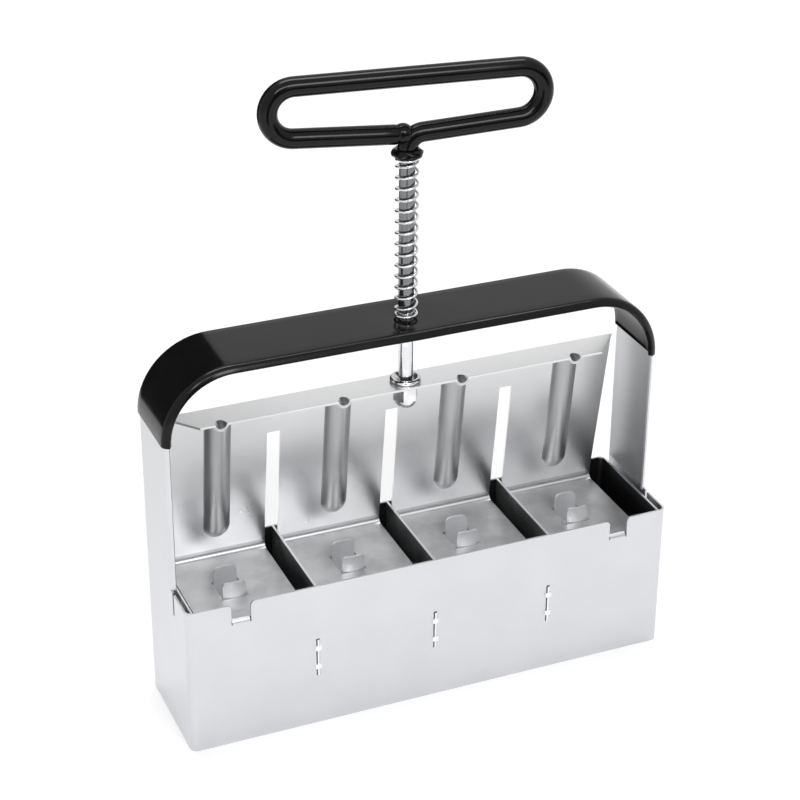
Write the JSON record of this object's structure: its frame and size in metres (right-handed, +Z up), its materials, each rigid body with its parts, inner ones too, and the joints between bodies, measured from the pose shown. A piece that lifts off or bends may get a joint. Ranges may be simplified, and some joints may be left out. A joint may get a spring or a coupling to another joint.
{
  "type": "soil blocker",
  "caption": "Sheet-metal soil block press with a row of open cells, a black-dipped bail and a sprung T-handle plunger that pushes the blocks out.",
  "frame": {"origin": "middle of the box on the plane of its open bottom rim", "axes": "+X along the row of cells to the right seen from the front, +Y from the front panel to the back, +Z up along the plunger rod"},
  "size_m": [0.2134, 0.0536, 0.2637],
  "materials": {
    "galvanised_sheet": "smooth zinc-plated sheet",
    "black_vinyl": "glossy dipped vinyl",
    "bright_steel": "bright zinc plating",
    "spring_wire": "bright plated wire"
  },
  "bodies": {
    "casing": {"outer_shell": "galvanised_sheet", "bail_grip": "black_vinyl", "back_panel": "galvanised_sheet", "partition_left": "galvanised_sheet", "partition_middle": "galvanised_sheet", "partition_right": "galvanised_sheet", "return_spring": "spring_wire"},
    "plunger": {"plunger_sheet": "galvanised_sheet", "seed_dibble_1": "galvanised_sheet", "seed_dibble_2": "galvanised_sheet", "seed_dibble_3": "galvanised_sheet", "seed_dibble_4": "galvanised_sheet", "plunger_rod": "bright_steel", "handle_weld": "bright_steel", "handle_grip": "black_vinyl", "spring_washer": "black_vinyl", "rod_collar": "bright_steel", "lock_washer": "bright_steel", "cap_nut": "bright_steel"}
  },
  "joints": [
    {"name": "plunger_slide", "type": "slide", "parent": "casing", "child": "plunger", "axis": [0, 0, -1], "range_m": [0, 0.048], "stiffness_N_per_m": 600, "springref_m": -0.02, "deforming": ["return_spring"]}
  ]
}
